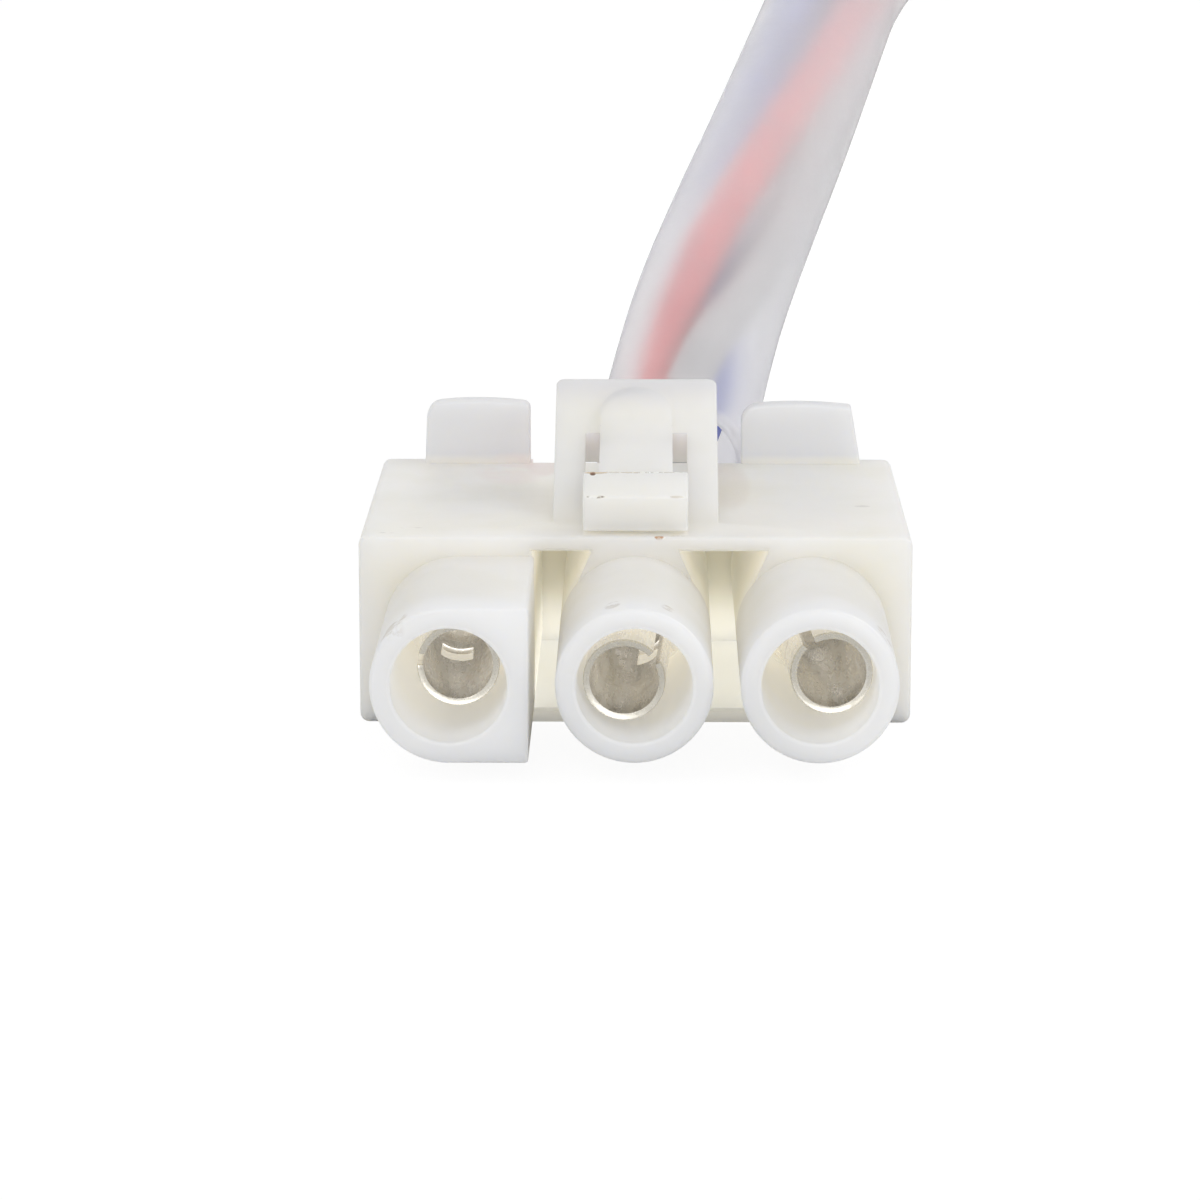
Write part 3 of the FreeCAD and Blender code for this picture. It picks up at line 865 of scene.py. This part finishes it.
def leverSolids():
    spec = leverSpec
    slope = math.atan2(spec["rise"], spec["run"])
    drop, buried = spec["thickness"] / math.cos(slope), spec["sink"] / math.tan(slope)
    tipSetback = spec["rootSetback"] + spec["run"]
    tip = onLever(tipSetback)
    underTip = (tip[0] + spec["thickness"] * math.sin(slope), tip[1] - spec["thickness"] * math.cos(slope))
    bm = sidePrism([
        onBlock(spec["rootSetback"] - buried, -spec["sink"]), tip, underTip,
        onBlock(spec["rootSetback"] + drop / math.tan(slope) - buried, -spec["sink"]),
    ], spec["width"])
    corners = [edge for edge in bm.edges if all(vert.co.y > tip[0] - 0.01 for vert in edge.verts)
               and abs(edge.verts[0].co.x - edge.verts[1].co.x) < 1e-5]
    soften(bm, corners, spec["cornerRound"], 5)
    outside = [edge for edge in sharpEdges(bm) if max(vert.co.z for vert in edge.verts) > 7]
    soften(bm, outside, spec["plateEdge"], 2)
    plate = solidFrom(bm, "leverPlate")

    ribWidth = spec["width"] - 2 * (spec["arm"] + spec["slot"])
    slotEnd, front, foot = tip[0] - spec["pad"], housingSpec["flange"], spec["cutFoot"]
    cutters = []
    for side in (-1, 1):
        inner, outer = sorted((side * ribWidth / 2, side * (ribWidth / 2 + spec["slot"])))
        slot = block((inner, front, foot), (outer, slotEnd, spec["cutTop"]))
        cutters.append(solidFrom(slot, f"slot{side}"))
    underRib = block((-ribWidth / 2, front, foot), (ribWidth / 2, slotEnd, onBlock(0, spec["noseGap"])[1]))
    cutters.append(solidFrom(underRib, "underRib"))

    end = tipSetback - spec["ribEnd"]
    noseBack = spec["noseSetback"] + spec["rampLength"]
    noseTop = spec["noseFace"] + spec["rampRise"]
    waist = spec["rootSetback"] + spec["thickness"] / math.sin(slope)
    bm = sidePrism([
        onBlock(spec["noseSetback"] + spec["rampLength"] / 2, spec["noseGap"]),
        onBlock(spec["noseSetback"] + spec["rampLength"] / 2, spec["noseFace"]),
        onBlock(noseBack, noseTop - spec["noseStep"]),
        onLever(end - spec["pad"], spec["ribHeight"]),
        onLever(end, spec["ribHeight"]),
        onLever(end, -spec["thickness"] / 2),
        onLever(waist, -spec["thickness"]),
        onBlock(waist - spec["noseStep"], spec["noseGap"]),
    ], ribWidth)
    rib = solidFrom(bm, "leverRib")
    radius, endY = ribWidth / 2, onLever(end)[0]
    plan = [(-radius, front), (radius, front)]
    for turn in (math.radians(step) for step in range(0, 181, 6)):
        plan.append((radius * math.cos(turn), endY - radius + radius * math.sin(turn)))
    # low and high enough to hold the whole rib
    stadium = solidFrom(prism([(x, y, 6) for x, y in plan], (0, 0, 8)), "ribPlan")

    stepBack = noseBack + spec["noseStepRun"]
    bm = sidePrism([
        onBlock(spec["noseSetback"], spec["noseGap"]), onBlock(spec["noseSetback"], spec["noseFace"]),
        onBlock(noseBack, noseTop), onBlock(stepBack, noseTop - spec["noseStep"]),
        onBlock(stepBack, spec["noseGap"]),
    ], spec["noseWidth"])
    soften(bm, sharpEdges(bm, 20), spec["softEdge"], 3)
    nose = solidFrom(bm, "leverNose")
    return plate, cutters, rib, stadium, nose


def earSolid(side):
    spec = earSpec
    way = (-1, 1)[side]
    inner, outer = way * spec["inner"][side], way * spec["outer"][side]
    outerTop = outer - way * spec["taper"][side]
    foot = housingSpec["height"] - spec["sink"]
    shoulder = housingSpec["height"] + spec["height"][side] - spec["crown"]

    def top(share):
        return (outerTop + (inner - outerTop) * share, shoulder + spec["crown"] * 4 * share * (1 - share))

    outline = [(outer, foot)] + roundCorner((outer, foot), top(0), top(0.25), spec["outerRound"][side])
    outline += [top(step / 16) for step in range(4, 13)]
    outline += roundCorner(top(0.75), top(1), (inner, foot), spec["innerRound"][side]) + [(inner, foot)]
    front = housingSpec["back"] - spec["thickness"]
    bm = prism([(x, front, z) for x, z in outline], (0, spec["thickness"], 0))
    height = housingSpec["height"]
    rim = [edge for edge in sharpEdges(bm, 60) if max(vert.co.z for vert in edge.verts) > height]
    soften(bm, rim, spec["softEdge"], 3)
    return solidFrom(bm, f"ear{side + 1}")


nylonMarks = (
    # middle, reach and colour of each mark, how strong it is and how fine its speckles are
    ((0.0, -1.63, 8.92), (2.3, 0.11, 0.14), (0.20, 0.15, 0.09), 0.9, 3.2),
    ((-1.45, -1.68, 8.92), (0.55, 0.12, 0.12), (0.30, 0.17, 0.06), 0.9, 0.0),
    ((-1.55, -1.76, 8.88), (0.13, 0.13, 0.13), (0.03, 0.015, 0.01), 1.0, 0.0),
    ((-1.45, -2.90, 8.26), (0.42, 0.08, 0.08), (0.10, 0.05, 0.02), 1.0, 2.2),
    ((1.45, -2.90, 8.26), (0.45, 0.07, 0.07), (0.40, 0.30, 0.22), 0.45, 3.0),
    ((0.85, -3.22, 6.84), (0.20, 0.14, 0.14), (0.45, 0.20, 0.07), 0.95, 1.6),
    ((1.50, -3.10, 6.86), (0.32, 0.09, 0.12), (0.40, 0.33, 0.24), 0.55, 2.0),
    ((3.50, 6.5, 6.86), (0.95, 5.5, 0.60), (0.62, 0.47, 0.42), 0.20, 0.0),
    ((-3.60, 10.4, 6.86), (0.80, 2.4, 0.60), (0.62, 0.34, 0.34), 0.20, 0.0),
    ((-4.7, 9.3, 6.86), (1.7, 3.2, 0.60), (0.86, 0.74, 0.72), 0.45, 0.3),
    ((-8.30, -11.3, 5.35), (0.75, 1.0, 0.75), (0.46, 0.40, 0.32), 0.55, 2.2),
    ((-0.75, -10.9, 6.03), (0.35, 0.6, 0.20), (0.42, 0.36, 0.30), 0.5, 2.4),
    ((1.15, -10.7, 5.90), (0.30, 0.5, 0.25), (0.42, 0.36, 0.30), 0.5, 2.4),
    ((8.60, -11.0, 4.90), (0.45, 0.9, 0.80), (0.46, 0.40, 0.32), 0.45, 2.4),
    ((-8.20, -1.7, 6.86), (0.55, 0.14, 0.2), (0.50, 0.47, 0.44), 0.5, 1.4),
    ((-8.95, -2.6, 6.80), (0.40, 0.12, 0.2), (0.50, 0.47, 0.44), 0.5, 1.4),
    ((8.4, 2.5, 6.86), (0.35, 0.20, 0.2), (0.50, 0.47, 0.44), 0.4, 1.4),
)


def nylonColour(look, where, axes):
    x, y, z = axes
    cloud = look.noise(where, 0.22, 3.0, 0.5)
    colour = look.mix(cloud.ramp(0.35, 0.68), fromScreen(243, 240, 234), fromScreen(238, 235, 226))
    # the silos' ends are the whitest, the ears and the lever's end a little blue
    colour = look.mix(y.ramp(-9.0, -12.0), colour, fromScreen(245, 245, 244))
    colour = look.mix(y.ramp(10.4, 10.9) * z.ramp(6.9, 7.3), colour, fromScreen(222, 223, 226))
    colour = look.mix(z.ramp(9.9, 10.9) * 0.85, colour, fromScreen(213, 213, 217))
    # the slots' rear ends are in the shade
    slotEnd = x.size().ramp(1.31, 1.35) * x.size().ramp(1.91, 1.87) * y.ramp(3.70, 3.74) * y.ramp(3.80, 3.76)
    colour = look.mix(slotEnd * z.ramp(7.5, 8.6), colour, (0.72, 0.69, 0.70))
    for centre, reach, tint, strength, speckle in nylonMarks:
        mark = look.spot(axes, centre, reach) * strength
        if speckle:
            mark = mark * look.noise(where, speckle, 3.0, 0.6).ramp(0.42, 0.58)
        colour = look.mix(mark, colour, tint)
    return colour


def nylonGlow(look, axes):
    # thin walls pass light into the pockets and cavities, warmer the deeper it goes
    x, y, z = axes
    wide = x.size()
    across, up = x.sum("PINGPONG", housingSpec["pitch"] / 2), z - housingSpec["axisHeight"]
    offAxis = (across ** 2.0 + up ** 2.0) ** 0.5
    inBore = offAxis.ramp(2.16, 2.08) * y.ramp(-12.02, -11.0, 0.25, 1.0)
    glow = look.mix(y.ramp(-12.0, -2.0), (0.15, 0.15, 0.148), (0.21, 0.203, 0.182))
    glow = look.mix(y.ramp(-0.6, 0.4), glow, (0.62, 0.59, 0.52))
    glow = look.mix(inBore, (0.0, 0.0, 0.0), glow)
    inPocket = y.ramp(-3.32, -3.1) * z.ramp(6.34, 6.28) * z.ramp(0.4, 0.5) * wide.ramp(6.5, 6.3)
    pocketGlow = look.mix(z.ramp(3.0, 1.0), (0.085, 0.08, 0.055), (0.30, 0.295, 0.27))
    pocketGlow = look.mix(z.ramp(4.2, 6.0), pocketGlow, (0.24, 0.225, 0.185))
    glow = look.mix(inPocket * offAxis.ramp(2.6, 2.68), glow, pocketGlow)
    # so do the lever's thin plate, into its two slots, and the nose, into the gap below it
    inSlot = wide.ramp(1.30, 1.36) * wide.ramp(1.92, 1.86) * y.ramp(-1.5, -1.3) * y.ramp(3.70, 3.60)
    glow = look.mix(inSlot * z.ramp(6.9, 7.1), glow, (0.05, 0.045, 0.045))
    underNose = wide.ramp(1.95, 1.85) * y.ramp(-3.1, -2.8) * y.ramp(-1.0, -1.4)
    glow = look.mix(underNose * z.ramp(7.25, 7.0) * z.ramp(6.7, 6.8), glow, (0.07, 0.068, 0.06))
    # and the lip's lower edge, above the floor
    lowEdge = y.ramp(-3.12, -3.2) * y.ramp(-3.5, -3.45) * z.ramp(0.9, 0.3) * wide.ramp(6.8, 5.8)
    return look.mix(lowEdge, glow, (0.20, 0.195, 0.175))


def housingLook():
    look = Look("naturalNylon")
    where = look.place()
    axes = look.axes(where)
    fine = look.noise(where, 9.0, 4.0, 0.6)
    slanted = {"Vector": where, "Rotation": (0, 0, 0.5), "Scale": (0.4, 3.0, 3.0)}
    scratch = look.noise(look.node("ShaderNodeMapping", None, slanted), 3.0, 3.0)
    shader = look.surface({
        "Base Color": nylonColour(look, where, axes),
        "Roughness": fine.ramp(0.3, 0.7, 0.34, 0.46),
        "Subsurface Weight": 1.0,
        "Subsurface Radius": (1.0, 0.93, 0.78),
        "Subsurface Scale": 0.003,
        "Specular IOR Level": 0.45,
        "Emission Color": nylonGlow(look, axes),
        "Emission Strength": 1.0,
        "Normal": look.bump(fine * 0.6 + scratch * 0.5, 0.06, 0.00005),
    })
    return look.finish(shader)


def makeHousing():
    spec = housingSpec
    bm = block((-spec["halfWidth"], spec["flange"], 0), (spec["halfWidth"], spec["back"], spec["height"]))
    soften(bm, [edge for edge in bm.edges if abs(edge.verts[0].co.y - edge.verts[1].co.y) > 1],
           spec["longEdgeRound"], 5)
    soften(bm, sharpEdges(bm, 60), spec["frontEdgeRound"], 3)
    housing = solidFrom(bm, "housingBody")
    plate, slots, rib, stadium, nose = leverSolids()
    relief = solidFrom(sidePrism(spec["relief"], spec["reliefWidth"]), "rearRelief")
    steps = [("DIFFERENCE", pocketCutter(0)), ("DIFFERENCE", pocketCutter(1)), ("DIFFERENCE", relief)]
    steps += [("UNION", keyedSilo()), ("UNION", siloSolid(1)), ("UNION", siloSolid(2))]
    join(plate, [("DIFFERENCE", cutter) for cutter in slots])
    join(rib, [("INTERSECT", stadium)])
    steps += [("UNION", solid) for solid in (plate, rib, nose, earSolid(0), earSolid(1))]
    steps += [("DIFFERENCE", cavityCutter(number)) for number in range(3)]
    join(housing, steps)
    mesh = housing.data
    mesh.transform(Matrix.Scale(mm, 4))
    mesh.materials.clear()
    mesh.materials.append(housingLook())
    mesh.shade_smooth()
    mesh.set_sharp_from_angle(angle=math.radians(32))
    weighted = housing.modifiers.new("evenShade", "WEIGHTED_NORMAL")
    weighted.keep_sharp = True
    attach(housing, "root")
    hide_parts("housing")
    return housing


housing = makeHousing()
print("housing faces", len(housing.data.polygons))

print("stage: finish")
bpy.context.view_layer.update()
